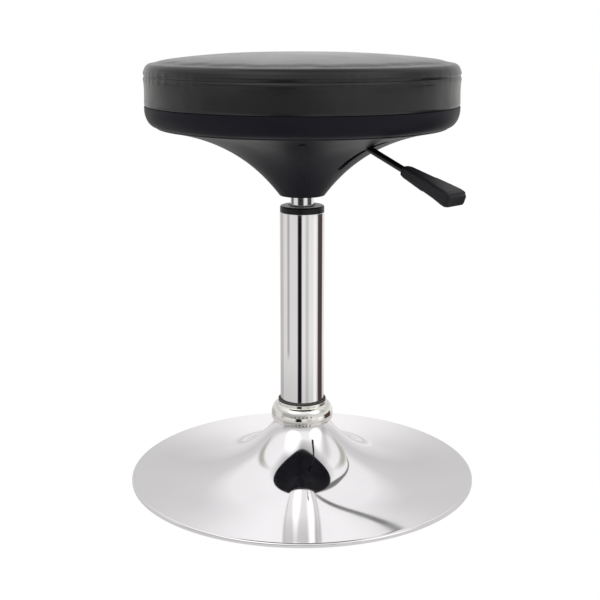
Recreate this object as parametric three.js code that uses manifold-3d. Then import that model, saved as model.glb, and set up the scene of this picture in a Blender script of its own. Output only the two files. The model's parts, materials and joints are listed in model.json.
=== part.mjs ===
// A round counter stool on a gas lift: a crowned cushion on a moulded pan, a chromed column and a spun
// trumpet base. Millimetres, +Z up, with the origin on the floor on the column's axis. The seat stands at
// its lowest.

import * as THREE from 'three';
import { mergeVertices } from 'three/addons/utils/BufferGeometryUtils.js';
import Module from 'manifold-3d';

const wasm = await Module();
wasm.setup();

// Driving sizes. Heights stack up from the floor, and each piece takes its seat from the one that carries it.
const clearance = 0.3;
const overrun = 2;

const floorRing = { inset: 1, width: 14, thickness: 1.5 };
const plate = { inset: 9, thickness: 2, accessRadius: 20 };
const cover = {
  radius: 198, sheet: 1.5, rimHeight: 5.5, rimDrop: 4.5, edgeRadius: 2.4, neckWidth: 7, rise: 61.7,
  flareLength: 43,
};
const hub = { flangeWidth: 13, flangeThickness: 4, topInset: 1.2 };
const ballast = { width: 85, airGap: 1 };
const collar = {
  height: 24.5, wall: 1.8, topWidth: 3.5, topBand: 3.6, bulgeWidth: 10.4, bulgeHeight: 7.5, edge: 0.6,
};
const gasket = { width: 2, thickness: 1.7 };
const column = { radius: 25, wall: 2, length: 300, lift: 7.2, taperLength: 55, taper: 0.8, edge: 0.6 };
const foot = { lift: 3, thickness: 4 };
const bushing = { capHeight: 6.7, capInset: 0.3, capEdge: 0.8, sleeveLength: 76 };

const rod = {
  radius: 5, tailRadius: 4, tailLength: 6, shoulderRadius: 8.5, shoulderHeight: 2, groove: 0.8,
  beyondPiston: 2, edge: 0.5,
};
const clip = { radius: 7, thickness: 1.2, mouthDegrees: 100 };
const bearing = {
  radius: 11.5, raceThickness: 1.5, ballRadius: 2, ballCount: 8, pitchRadius: 7.9, cage: 1.2,
};
const bumpStop = { radius: 9.5, height: 11.2, waist: 1.2 };
const piston = { height: 10, groove: 1, grooveHeight: 4 };
const gland = { height: 17.7, groove: 1, grooveHeight: 3 };
const lift = {
  radius: 13, wall: 2, stroke: 140, strokeSpare: 2, showing: 11.5, taperLength: 49, taper: 0.7, proud: 1.5,
};
const valve = { radius: 3, tipRadius: 1.2, footRadius: 5, footHeight: 3, length: 22.2, topWall: 3.5 };

const pan = {
  wall: 3, holeSpare: 1.5, coneRadius: 25, coneRise: 75.4, flareLength: 65, rimCurve: 12.4,
  rimCurveHeight: 19.1, rimHeight: 2.7, rimEdge: 0.6, tipEdge: 4,
};
const slot = { spare: 0.5, start: 55, endSpare: 2 };
const boss = { radius: 7, headRadius: 4.6, shoulderDepth: 16.2 };
const panScrew = { radius: 2, headRadius: 4, headHeight: 2.6, length: 26 };

const cushion = {
  radius: 170.5, bandHeight: 33, crownRise: 24, shoulderWidth: 24, shoulderRise: 17, leather: 1.2, drawIn: 1,
  seamDepth: 1.3, seamHeight: 1.1, cornerRadius: 4, foldWidth: 21,
};
const board = { inset: 2.8, thickness: 12, edge: 2 };

const hat = {
  flange: 75, box: 44, depth: 31.2, sheet: 2.5, flangeCorner: 8, boxCorner: 9, boltPlace: 62,
  windowSpare: 1.5, windowHeadroom: 4,
};
const socket = { wall: 4.7, length: 45, proud: 1 };
const bolt = { radius: 3, headRadius: 5.8, headHeight: 4, length: 14 };
const teeNut = { barrel: 1.2, flangeRadius: 9, flangeThickness: 1.4, length: 10 };
const leverAzimuthDegrees = 45;
const lever = {
  radius: 3.5, pivotOffset: 34, pivotHeight: 12.5, dropDegrees: 20.8, liftDegrees: 8, outerLength: 163,
  eyeRadius: 5.5, eyeWidth: 8,
};
const pin = { radius: 2, headRadius: 3.2, headHeight: 1.2, spare: 1.2 };
const bracket = { sheet: 2, earRadius: 6, baseSpare: 1 };
const grip = { start: 119, length: 72, width: 29, height: 15.5, rise: 9.6, corner: 2.2, boreSpare: 8 };

// Places along the lift's axis and the seat's stack
const plateBottom = floorRing.thickness + clearance;
const plateTop = plateBottom + plate.thickness;
const neckRadius = column.radius + cover.neckWidth;
const neckTop = cover.rimHeight + cover.rise;
const columnBottom = plateTop + column.lift;
const columnTop = columnBottom + column.length;
const collarBottom = neckTop + clearance;
const collarTop = collarBottom + collar.height;
const footBottom = columnBottom + foot.lift;
const footTop = footBottom + foot.thickness;
const lowerRaceBottom = footTop + clearance;
const ballBottom = lowerRaceBottom + bearing.raceThickness + clearance;
const upperRaceBottom = ballBottom + 2 * bearing.ballRadius + clearance;
const shoulderBottom = upperRaceBottom + bearing.raceThickness + clearance;
const bumpBottom = shoulderBottom + rod.shoulderHeight + clearance;
const tubeBottom = bumpBottom + bumpStop.height + clearance;
const glandBottom = tubeBottom + clearance;
const pistonBottom = glandBottom + gland.height + lift.stroke + lift.strokeSpare;
const sleeveTop = columnTop + clearance;
const capTop = sleeveTop + bushing.capHeight;
const panBottom = capTop + lift.showing;
const panUnderside = panBottom + pan.coneRise;
const panTop = panUnderside + pan.rimCurveHeight + pan.rimHeight;
const bandBottom = panTop + clearance;
const seamHeight = bandBottom + cushion.bandHeight;
const crownTop = seamHeight + cushion.crownRise;
const boardBottom = bandBottom + cushion.leather + clearance;
const boardTop = boardBottom + board.thickness;
const hatTop = boardBottom - clearance;
const hatFloor = hatTop - hat.depth + hat.sheet;
const tubeTop = hatFloor + lift.proud;
const socketTop = hatFloor + socket.proud;
const pivotHeight = hatFloor + lever.pivotHeight;
const bossShoulder = boardBottom - clearance - boss.shoulderDepth;
const panScrewTop = bossShoulder - clearance + panScrew.length;
const leverAngle = THREE.MathUtils.degToRad(lever.dropDegrees);
const liftedAngle = THREE.MathUtils.degToRad(lever.dropDegrees - lever.liftDegrees);
const leverAzimuth = THREE.MathUtils.degToRad(leverAzimuthDegrees);

// Facets round a body of revolution, and steps along a curve
const large = 40;
const middle = 28;
const small = 16;
const tiny = 10;
const hexagon = 6;
const ballFacets = 6;
const flareSteps = 8;
const arcSteps = 3;
const domeSteps = 4;
const shoulderSteps = 5;
const drawInSteps = 4;

// Shares and powers that shape the curves
const flareSpacingPower = 1.7;
const domePower = 1.5;
const fullyRoundShare = 0.98;
const rimTurnShare = 0.92;
const shoulderTurnShares = [0.8, 0.05];

const finish = (color, roughness, metalness) =>
  new THREE.MeshStandardMaterial({ color, roughness, metalness });
const chrome = finish(0xe6e6ea, 0.08, 1);
const steel = finish(0x9a9ca0, 0.35, 1);
const iron = finish(0x4a4c50, 0.7, 0.6);
const plastic = finish(0x26262b, 0.42, 0);
const gripPlastic = finish(0x2d2d33, 0.55, 0);
const blackSteel = finish(0x141416, 0.4, 0.3);
const rubber = finish(0x161616, 0.85, 0);
const leatherette = finish(0x2e2e30, 0.5, 0);
const foam = finish(0xe5d79a, 0.95, 0);
const plywood = finish(0xb58a5a, 0.7, 0);

// Turns a closed geometry into a solid. Vertices that share a place become one, and empty triangles go.
function solid(shape) {
  if (!shape.isBufferGeometry) {
    return shape;
  }
  const bare = shape.clone();
  bare.deleteAttribute('normal');
  bare.deleteAttribute('uv');
  bare.clearGroups();
  const merged = mergeVertices(bare);
  const indices = merged.index.array;
  const kept = [];
  for (let i = 0; i < indices.length; i += 3) {
    const [a, b, c] = indices.slice(i, i + 3);
    if (a !== b && b !== c && c !== a) {
      kept.push(a, b, c);
    }
  }
  return new wasm.Manifold(new wasm.Mesh({
    numProp: 3, vertProperties: merged.attributes.position.array, triVerts: new Uint32Array(kept),
  }));
}

const joined = (first, ...others) => others.reduce((sum, other) => sum.add(solid(other)), solid(first));
const cut = (body, ...tools) => tools.reduce((rest, tool) => rest.subtract(solid(tool)), solid(body));

function piece(name, shape, material) {
  const faces = solid(shape).getMesh();
  const geometry = new THREE.BufferGeometry();
  geometry.setAttribute('position', new THREE.BufferAttribute(faces.vertProperties, 3));
  geometry.setIndex(new THREE.BufferAttribute(faces.triVerts, 1));
  geometry.computeVertexNormals();
  const mesh = new THREE.Mesh(geometry, material);
  mesh.name = name;
  return mesh;
}

// One numbered copy of a piece at each place
function placedCopies(name, shape, places, material) {
  return places.map((place, i) => {
    const copy = piece(name + '_' + (i + 1), shape, material);
    copy.position.set(...place);
    return copy;
  });
}

// Revolves a closed outline of [radius, height] points round the Z axis.
function revolved(outline, count) {
  const points = outline.map(([radius, height]) => new THREE.Vector2(radius, height));
  if (THREE.ShapeUtils.area(points) < 0) {
    points.reverse();
  }
  points.push(points[0].clone());
  return new THREE.LatheGeometry(points, count).rotateX(Math.PI / 2);
}

const ring = (inner, outer, bottom, top, count) =>
  revolved([[inner, bottom], [outer, bottom], [outer, top], [inner, top]], count);
const post = (radius, bottom, top, count) => ring(0, radius, bottom, top, count);

// An outline moved inwards by a distance. Its body lies to the right of the way that the points run.
function inset(points, distance) {
  return points.map(([radius, height], i) => {
    const before = points[Math.max(i - 1, 0)];
    const after = points[Math.min(i + 1, points.length - 1)];
    const outwards = after[0] - before[0];
    const upwards = after[1] - before[1];
    const share = distance / Math.hypot(outwards, upwards);
    return [Math.max(radius + upwards * share, 0), height - outwards * share];
  });
}

const skin = (points, thickness) => [...points, ...inset(points, thickness).reverse()];

// Points on an ellipse's arc in the outline's plane, with angles in quarter turns from the outward direction.
function arc([centreRadius, centreHeight], width, height, from, to, steps = arcSteps) {
  return Array.from({ length: steps + 1 }, (_, i) => {
    const angle = (from + (to - from) * i / steps) * Math.PI / 2;
    return [centreRadius + width * Math.cos(angle), centreHeight + height * Math.sin(angle)];
  });
}

// Rise of a flared skin over its rim: steep at the neck and nearly level at the rim.
function flareRise(radius, neck, rim, rise, length) {
  const atRim = Math.exp((neck - rim) / length);
  return rise * (Math.exp((neck - radius) / length) - atRim) / (1 - atRim);
}

// Radii from the neck to the rim, closer together where the flare bends most.
function flareRadii(neck, rim) {
  return Array.from({ length: flareSteps + 1 }, (_, i) => {
    const share = (i / flareSteps) ** flareSpacingPower;
    return neck + (rim - neck) * share;
  });
}

function roundedRectangle(halfLength, halfWidth, corner) {
  const shape = new THREE.Shape();
  const x = halfLength - corner;
  const y = halfWidth - corner;
  shape.absarc(x, -y, corner, -Math.PI / 2, 0);
  shape.absarc(x, y, corner, 0, Math.PI / 2);
  shape.absarc(-x, y, corner, Math.PI / 2, Math.PI);
  shape.absarc(-x, -y, corner, Math.PI, Math.PI * 1.5);
  shape.closePath();
  return shape;
}

const prism = (shape, bottom, top, curveSegments = arcSteps) =>
  new THREE.ExtrudeGeometry(shape, { depth: top - bottom, bevelEnabled: false, curveSegments })
    .translate(0, 0, bottom);

const block = (low, high) =>
  new THREE.BoxGeometry(high[0] - low[0], high[1] - low[1], high[2] - low[2])
    .translate((low[0] + high[0]) / 2, (low[1] + high[1]) / 2, (low[2] + high[2]) / 2);

// Places of the four bolts, in a square, and of the four pan screws further out on the same diagonals,
// half way between the plate's corners and the cover's fold
const corners = [[1, 1], [-1, 1], [-1, -1], [1, -1]];
const boltPlaces = corners.map(([x, y]) => [x * hat.boltPlace, y * hat.boltPlace, 0]);
const plateCornerReach = (hat.flange - hat.flangeCorner) * Math.SQRT2 + hat.flangeCorner;
const foldEnd = cushion.radius - cushion.cornerRadius - cushion.foldWidth;
const screwOffset = (plateCornerReach + foldEnd) / 2 * Math.SQRT1_2;
const screwPlaces = corners.map(([x, y]) => [x * screwOffset, y * screwOffset, 0]);

// Base

const edgeStart = cover.radius - cover.edgeRadius;

const coverHeight = (radius) =>
  cover.rimHeight + flareRise(radius, neckRadius, edgeStart, cover.rise, cover.flareLength);

const columnRadiusAt = (height) =>
  column.radius - column.taper * Math.max(0, 1 - (height - columnBottom) / column.taperLength);

// The cover's outside, from its neck out to the rim and down its turned edge
const coverOutline = [
  ...flareRadii(neckRadius, edgeStart).map((radius) => [radius, coverHeight(radius)]),
  ...arc([edgeStart, cover.rimHeight - cover.edgeRadius], cover.edgeRadius, cover.edgeRadius, 1, 0).slice(1),
  [cover.radius, cover.rimHeight - cover.rimDrop],
];
const hubRadius = inset(coverOutline, cover.sheet)[0][0] - clearance;
const hubFlangeRadius = neckRadius + hub.flangeWidth;

function baseHub() {
  const bottom = plateTop + clearance;
  const top = neckTop - hub.topInset;
  const taperTop = columnBottom + column.taperLength;
  const bore = [bottom, columnBottom, Math.min(taperTop, top), top];
  const inner = [...new Set(bore)].map((height) => {
    return [columnRadiusAt(Math.max(height, columnBottom)) + clearance, height];
  });
  return revolved([
    ...inner,
    [hubRadius, top],
    [hubRadius, bottom + hub.flangeThickness],
    [hubFlangeRadius, bottom + hub.flangeThickness],
    [hubFlangeRadius, bottom],
  ], middle);
}

// Cast iron that fills the space under the flare and leaves an air gap to the sheet
function ballastRing() {
  const inner = hubFlangeRadius + clearance;
  const bottom = plateTop + clearance;
  const top = inset(coverOutline.slice(0, flareSteps + 1), cover.sheet + ballast.airGap);
  const underCover = revolved([...top, [top.at(-1)[0], bottom], [top[0][0], bottom]], middle);
  const band = ring(inner, inner + ballast.width, bottom, neckTop, middle);
  return solid(underCover).intersect(solid(band));
}

function trimCollar() {
  const top = column.radius + collar.topWidth;
  const bulge = column.radius + collar.bulgeWidth;
  const widest = collarBottom + collar.bulgeHeight;
  const bandBottomHeight = collarTop - collar.topBand;
  const outer = [
    [column.radius + clearance, collarTop],
    [top - collar.edge, collarTop],
    [top, collarTop - collar.edge],
    ...arc([top, widest], bulge - top, bandBottomHeight - widest, 1, 0, arcSteps + 1),
    ...arc([neckRadius, widest], bulge - neckRadius, collar.bulgeHeight, 0, -1).slice(1),
  ];
  return revolved(skin(outer, collar.wall), middle);
}

function columnTube() {
  const bottomRadius = columnRadiusAt(columnBottom);
  const taperTop = columnBottom + column.taperLength;
  return revolved(skin([
    [column.radius - column.edge, columnTop],
    [column.radius, columnTop - column.edge],
    [column.radius, taperTop],
    [bottomRadius, columnBottom],
  ], column.wall), middle);
}

function guideBushing() {
  const bore = lift.radius + clearance;
  const sleeve = column.radius - column.wall - clearance;
  const cap = column.radius - bushing.capInset;
  return revolved([
    [bore, sleeveTop - bushing.sleeveLength],
    [sleeve, sleeveTop - bushing.sleeveLength],
    [sleeve, sleeveTop],
    [cap, sleeveTop],
    [cap, capTop - bushing.capEdge],
    [cap - bushing.capEdge, capTop],
    [bore, capTop],
  ], middle);
}

function basePieces() {
  const plateRadius = cover.radius - plate.inset;
  const ringRadius = plateRadius - floorRing.inset;
  const ringBore = ringRadius - floorRing.width;
  const footRadius = columnRadiusAt(columnBottom) - column.wall - clearance;
  const gasketBore = column.radius + clearance;
  const gasketBottom = collarTop + clearance;
  const raceBore = rod.tailRadius + clearance;
  return [
    piece('floor_ring', ring(ringBore, ringRadius, 0, floorRing.thickness, large), rubber),
    piece('base_plate', ring(plate.accessRadius, plateRadius, plateBottom, plateTop, large), steel),
    piece('trumpet_cover', revolved(skin(coverOutline, cover.sheet), large), chrome),
    piece('base_hub', baseHub(), steel),
    piece('ballast_ring', ballastRing(), iron),
    piece('trim_collar', trimCollar(), chrome),
    piece('collar_gasket', ring(
      gasketBore, gasketBore + gasket.width, gasketBottom, gasketBottom + gasket.thickness, middle,
    ), rubber),
    piece('column_tube', columnTube(), chrome),
    piece('column_foot', ring(raceBore, footRadius, footBottom, footTop, middle), steel),
    piece('guide_bushing', guideBushing(), plastic),
    piece('bearing_lower_race', ring(
      raceBore, bearing.radius, lowerRaceBottom, lowerRaceBottom + bearing.raceThickness, small,
    ), steel),
  ];
}

// Spindle: the piston rod and what turns with it on the thrust bearing

function pistonRod() {
  const bottom = footBottom - rod.tailLength;
  const grooveTop = footBottom - clearance;
  const grooveBottom = grooveTop - clip.thickness - 2 * clearance;
  const top = pistonBottom + piston.height + rod.beyondPiston;
  return revolved([
    [0, bottom],
    [rod.tailRadius - rod.edge, bottom],
    [rod.tailRadius, bottom + rod.edge],
    [rod.tailRadius, grooveBottom],
    [rod.tailRadius - rod.groove, grooveBottom],
    [rod.tailRadius - rod.groove, grooveTop],
    [rod.tailRadius, grooveTop],
    [rod.tailRadius, shoulderBottom],
    [rod.shoulderRadius, shoulderBottom],
    [rod.shoulderRadius, shoulderBottom + rod.shoulderHeight],
    [rod.radius, shoulderBottom + rod.shoulderHeight],
    [rod.radius, top - rod.edge],
    [rod.radius - rod.edge, top],
    [0, top],
  ], tiny);
}

// A ring with a seal groove round its outside
function groovedRing(inner, outer, bottom, height, groove, grooveHeight) {
  const middleHeight = bottom + height / 2;
  return revolved([
    [inner, bottom],
    [outer, bottom],
    [outer, middleHeight - grooveHeight / 2],
    [outer - groove, middleHeight - grooveHeight / 2],
    [outer - groove, middleHeight + grooveHeight / 2],
    [outer, middleHeight + grooveHeight / 2],
    [outer, bottom + height],
    [inner, bottom + height],
  ], small);
}

function ballCage() {
  const middleHeight = ballBottom + bearing.ballRadius;
  const half = bearing.cage / 2;
  const cage = ring(rod.tailRadius + 2 * clearance, bearing.radius - clearance, middleHeight - half,
    middleHeight + half, small);
  const balls = Array.from({ length: bearing.ballCount }, (_, i) => {
    const turn = 2 * Math.PI * i / bearing.ballCount;
    return new THREE.SphereGeometry(bearing.ballRadius, ballFacets, ballFacets / 2).rotateX(Math.PI / 2)
      .translate(bearing.pitchRadius * Math.cos(turn), bearing.pitchRadius * Math.sin(turn), middleHeight);
  });
  return joined(cage, ...balls);
}

function retainingClip() {
  const inner = rod.tailRadius - rod.groove + clearance;
  const halfMouth = THREE.MathUtils.degToRad(clip.mouthDegrees / 2);
  const shape = new THREE.Shape();
  shape.absarc(0, 0, clip.radius, halfMouth, 2 * Math.PI - halfMouth, false);
  shape.absarc(0, 0, inner, 2 * Math.PI - halfMouth, halfMouth, true);
  shape.closePath();
  const top = footBottom - 2 * clearance;
  return prism(shape, top - clip.thickness, top, small);
}

function spindlePieces() {
  const raceBore = rod.tailRadius + clearance;
  const rodBore = rod.radius + clearance;
  const bumpTop = bumpBottom + bumpStop.height;
  const inTubeRadius = lift.radius - lift.wall - clearance;
  return [
    piece('piston_rod', pistonRod(), chrome),
    piece('retaining_clip', retainingClip(), steel),
    piece('bearing_ball_cage', ballCage(), steel),
    piece('bearing_upper_race', ring(
      raceBore, bearing.radius, upperRaceBottom, upperRaceBottom + bearing.raceThickness, small,
    ), steel),
    piece('bump_stop', revolved([
      [rodBore, bumpBottom],
      [bumpStop.radius, bumpBottom],
      [bumpStop.radius - bumpStop.waist, (bumpBottom + bumpTop) / 2],
      [bumpStop.radius, bumpTop],
      [rodBore, bumpTop],
    ], small), rubber),
    piece('piston', groovedRing(
      rodBore, inTubeRadius, pistonBottom, piston.height, piston.groove, piston.grooveHeight,
    ), steel),
  ];
}

// Seat. Its own X axis points along the lever, away from the column.

function pressureTube() {
  const topRadius = lift.radius - lift.taper;
  const bore = lift.radius - lift.wall;
  const chamber = tubeTop - valve.topWall;
  return revolved([
    [bore, tubeBottom],
    [lift.radius, tubeBottom],
    [lift.radius, tubeTop - lift.taperLength],
    [topRadius, tubeTop],
    [valve.radius + clearance, tubeTop],
    [valve.radius + clearance, chamber],
    [bore - lift.taper, chamber],
    [bore - lift.taper, tubeTop - lift.taperLength],
    [bore, tubeTop - lift.taperLength - lift.taper],
  ], middle);
}

function taperSocket() {
  const bottom = socketTop - socket.length;
  const tubeRadiusAt = (height) =>
    lift.radius - lift.taper * Math.max(0, 1 - (tubeTop - height) / lift.taperLength);
  return revolved([
    [tubeRadiusAt(bottom) + clearance, bottom],
    [lift.radius + socket.wall, bottom],
    [lift.radius + socket.wall, socketTop],
    [tubeRadiusAt(socketTop) + clearance, socketTop],
  ], middle);
}

// A pressed hat: a flange that the bolts hold under the board, and a box below it round the lever's pivot
function mountingPlate() {
  const bottom = hatTop - hat.depth;
  const pressed = joined(
    prism(roundedRectangle(hat.box, hat.box, hat.boxCorner), bottom, hatTop),
    prism(roundedRectangle(hat.flange, hat.flange, hat.flangeCorner), hatTop - hat.sheet, hatTop),
  );
  const inside = hat.box - hat.sheet;
  const half = lever.radius + hat.windowSpare;
  const leverHeight = pivotHeight - (hat.box - lever.pivotOffset) * Math.tan(leverAngle);
  const boltHoles = boltPlaces.map((place) =>
    post(bolt.radius + clearance, bottom, hatTop + overrun, tiny).translate(...place));
  return cut(
    pressed,
    prism(roundedRectangle(inside, inside, hat.boxCorner - hat.sheet), hatFloor, hatTop + overrun),
    post(lift.radius + socket.wall + clearance, bottom - overrun, hatFloor + overrun, middle),
    block(
      [inside - overrun, -half, leverHeight - half],
      [hat.box + overrun, half, leverHeight + half + hat.windowHeadroom],
    ),
    ...boltHoles,
  );
}

// A cylinder along the Y axis at the lever's pivot
const crossPost = (radius, from, to, count) =>
  post(radius, from, to, count).rotateX(-Math.PI / 2).translate(lever.pivotOffset, 0, pivotHeight);

function leverBracket() {
  const inner = lever.eyeWidth / 2 + clearance;
  const outer = inner + bracket.sheet;
  const bottom = hatFloor + clearance;
  const start = lever.pivotOffset - bracket.earRadius;
  const end = lever.pivotOffset + bracket.earRadius;
  const baseLow = [start - bracket.baseSpare, -outer, bottom];
  const baseHigh = [end + bracket.baseSpare, outer, bottom + bracket.sheet];
  const ear = (low, high) => joined(
    block([start, low, bottom], [end, high, pivotHeight]),
    crossPost(bracket.earRadius, low, high, small),
  );
  return cut(
    joined(
      block(baseLow, baseHigh),
      ear(-outer, -inner),
      ear(inner, outer),
    ),
    crossPost(pin.radius + clearance, -outer - overrun, outer + overrun, tiny),
  );
}

function pivotPin() {
  const earFace = lever.eyeWidth / 2 + clearance + bracket.sheet;
  const headStart = earFace + clearance;
  return revolved([
    [0, -earFace - pin.spare],
    [pin.radius, -earFace - pin.spare],
    [pin.radius, headStart],
    [pin.headRadius, headStart],
    [pin.headRadius, headStart + pin.headHeight],
    [0, headStart + pin.headHeight],
  ], tiny).rotateX(-Math.PI / 2).translate(lever.pivotOffset, 0, pivotHeight);
}

function seatBoard() {
  const radius = cushion.radius - board.inset;
  const disc = revolved([
    [0, boardBottom],
    [radius - board.edge, boardBottom],
    [radius, boardBottom + board.edge],
    [radius, boardTop],
    [0, boardTop],
  ], large);
  const barrelHole = bolt.radius + clearance + teeNut.barrel + clearance;
  const nutRecess = boardTop - teeNut.flangeThickness - clearance;
  const nutHoles = boltPlaces.flatMap((place) => [
    post(barrelHole, boardBottom - overrun, boardTop + overrun, tiny).translate(...place),
    post(teeNut.flangeRadius + clearance, nutRecess, boardTop + overrun, tiny).translate(...place),
  ]);
  const pilotRadius = panScrew.radius + clearance;
  const pilotHoles = screwPlaces.map((place) =>
    post(pilotRadius, boardBottom - overrun, panScrewTop + clearance, tiny).translate(...place));
  return cut(disc, ...nutHoles, ...pilotHoles);
}

function mountingBolt() {
  const headTop = hatTop - hat.sheet - clearance;
  return joined(
    post(bolt.headRadius, headTop - bolt.headHeight, headTop, hexagon),
    post(bolt.radius, headTop - bolt.headHeight / 2, headTop + bolt.length, tiny),
  );
}

function teeNutShape() {
  const bore = bolt.radius + clearance;
  const barrel = bore + teeNut.barrel;
  return revolved([
    [bore, boardTop - teeNut.length],
    [barrel, boardTop - teeNut.length],
    [barrel, boardTop - teeNut.flangeThickness],
    [teeNut.flangeRadius, boardTop - teeNut.flangeThickness],
    [teeNut.flangeRadius, boardTop],
    [bore, boardTop],
  ], tiny);
}

function panScrewShape() {
  const headTop = bossShoulder - clearance;
  return revolved([
    [0, headTop - panScrew.headHeight],
    [panScrew.headRadius, headTop - panScrew.headHeight],
    [panScrew.headRadius, headTop],
    [panScrew.radius, headTop],
    [panScrew.radius, panScrewTop - panScrew.radius],
    [0, panScrewTop],
  ], tiny);
}

// The crown: a shallow dome that turns over a rounded shoulder into the seam's groove.
const shoulderFoot = cushion.radius - cushion.shoulderWidth;
const shoulderCentre = [shoulderFoot, seamHeight];
const crownOutline = [
  ...Array.from({ length: domeSteps + 1 }, (_, i) => {
    const share = i / domeSteps;
    const drop = (cushion.crownRise - cushion.shoulderRise) * share ** domePower;
    return [shoulderFoot * share, crownTop - drop];
  }),
  ...arc(shoulderCentre, cushion.shoulderWidth, cushion.shoulderRise, ...shoulderTurnShares, shoulderSteps),
  [cushion.radius - cushion.seamDepth, seamHeight + clearance / 2],
];

// The side band, drawn in a little between the seam and the board, and folded under it
function coverBand() {
  const drawnTop = seamHeight - cushion.seamHeight;
  const drawnBottom = bandBottom + cushion.cornerRadius;
  const side = Array.from({ length: drawInSteps + 1 }, (_, i) => [
    cushion.radius - cushion.drawIn * Math.sin(Math.PI * i / drawInSteps),
    drawnTop + (drawnBottom - drawnTop) * i / drawInSteps,
  ]);
  const cornerCentre = [cushion.radius - cushion.cornerRadius, drawnBottom];
  const outer = [
    [cushion.radius - cushion.seamDepth, seamHeight - clearance / 2],
    ...side,
    ...arc(cornerCentre, cushion.cornerRadius, cushion.cornerRadius, 0, -1).slice(1),
    [foldEnd, bandBottom],
  ];
  return revolved(skin(outer, cushion.leather), large);
}

function foamPad() {
  const side = cushion.radius - Math.max(cushion.drawIn, cushion.seamDepth) - cushion.leather - clearance;
  const crown = inset(crownOutline, cushion.leather + clearance)
    .filter(([radius]) => radius < side);
  const bottom = boardTop + clearance;
  return revolved([[0, bottom], [side, bottom], [side, seamHeight], ...crown.reverse()], large);
}

const rimCurveStart = cushion.radius - pan.rimCurve;

const panHeight = (radius) =>
  panUnderside - flareRise(radius, pan.coneRadius, rimCurveStart, pan.coneRise, pan.flareLength);

// The slot runs on to where the rod leaves the pan when the lever is lifted
const liftedRodTop = (radius) =>
  pivotHeight + lever.radius / Math.cos(liftedAngle) - (radius - lever.pivotOffset) * Math.tan(liftedAngle);

function slotEnd() {
  let end = slot.start;
  while (panHeight(end) < liftedRodTop(end)) {
    end += clearance;
  }
  return end + slot.endSpare;
}

// The pan: an upright rim that curves under and runs down a flare into the hollow cone round the lift
function seatPan() {
  const rimFoot = panTop - pan.rimHeight;
  const flare = flareRadii(pan.coneRadius, rimCurveStart)
    .map((radius) => [radius, panHeight(radius)])
    .reverse();
  const outer = [
    [cushion.radius - pan.rimEdge, panTop],
    [cushion.radius, panTop - pan.rimEdge],
    ...arc([rimCurveStart, rimFoot], pan.rimCurve, pan.rimCurveHeight, 0, -rimTurnShare),
    ...flare,
    [pan.coneRadius - pan.tipEdge, panBottom],
    [lift.radius + pan.holeSpare, panBottom],
  ];
  const shell = revolved(skin(outer, pan.wall), large);
  const middleOfWall = inset(flare, pan.wall / 2);
  const underPan = revolved([[0, panBottom], ...middleOfWall.reverse(), [cushion.radius, panBottom]], large);
  const bosses = screwPlaces.map((place) =>
    cut(post(boss.radius, panBottom, boardBottom - clearance, tiny).translate(...place), underPan));
  const recesses = screwPlaces.flatMap((place) => [
    post(boss.headRadius, panBottom, bossShoulder, tiny).translate(...place),
    post(panScrew.radius + clearance, panBottom, boardTop, tiny).translate(...place),
  ]);
  const halfLength = (slotEnd() - slot.start) / 2;
  const halfWidth = lever.radius + slot.spare;
  const slotShape = roundedRectangle(halfLength, halfWidth, halfWidth * fullyRoundShare);
  const leverSlot = prism(slotShape, panBottom, panUnderside).translate(slot.start + halfLength, 0, 0);
  return cut(joined(shell, ...bosses), ...recesses, leverSlot);
}

function seatPieces() {
  const glandRadius = lift.radius - lift.wall - clearance;
  return [
    piece('pressure_tube', pressureTube(), chrome),
    piece('rod_gland', groovedRing(
      rod.radius + clearance, glandRadius, glandBottom, gland.height, gland.groove, gland.grooveHeight,
    ), plastic),
    piece('taper_socket', taperSocket(), steel),
    piece('mounting_plate', mountingPlate(), steel),
    piece('lever_bracket', leverBracket(), steel),
    piece('pivot_pin', pivotPin(), steel),
    piece('seat_board', seatBoard(), plywood),
    piece('foam_pad', foamPad(), foam),
    piece('cover_top', revolved(skin(crownOutline, cushion.leather), large), leatherette),
    piece('cover_band', coverBand(), leatherette),
    piece('seat_pan', seatPan(), plastic),
    ...placedCopies('mounting_bolt', mountingBolt(), boltPlaces, steel),
    ...placedCopies('tee_nut', teeNutShape(), boltPlaces, steel),
    ...placedCopies('pan_screw', panScrewShape(), screwPlaces, blackSteel),
  ];
}

// Lever: its inner arm lies level over the valve pin, and its outer arm slopes out through the pan's slot

// A cylinder along the outer arm's slope, between two distances from the pivot
const slopedPost = (radius, from, to, count) =>
  post(radius, from, to, count)
    .rotateY(Math.PI / 2 + leverAngle)
    .translate(lever.pivotOffset, 0, pivotHeight);

function leverRod() {
  const half = lever.eyeWidth / 2;
  const innerArm = post(lever.radius, 0, lever.pivotOffset, tiny)
    .rotateY(Math.PI / 2)
    .translate(0, 0, pivotHeight);
  const outerArm = slopedPost(lever.radius, 0, lever.outerLength, tiny);
  return cut(
    joined(innerArm, outerArm, crossPost(lever.eyeRadius, -half, half, small)),
    crossPost(pin.radius + clearance, -half - overrun, half + overrun, tiny),
  );
}

// Sections of the grip from its neck to its end: share of the length, then shares of the width, of the rise
// of its top over the rod and of the depth of its underside, which has a step and a hollow for the fingers
const gripSectionShares = [
  [0, 0.38, 0.55, 0.85],
  [0.05, 0.44, 0.64, 0.95],
  [0.44, 0.66, 0.82, 1],
  [0.5, 0.7, 0.85, 0.86],
  [0.74, 0.89, 0.94, 0.78],
  [0.9, 0.98, 1, 0.92],
  [0.97, 1, 0.95, 0.9],
  [1, 0.92, 0.66, 0.7],
];

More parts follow.
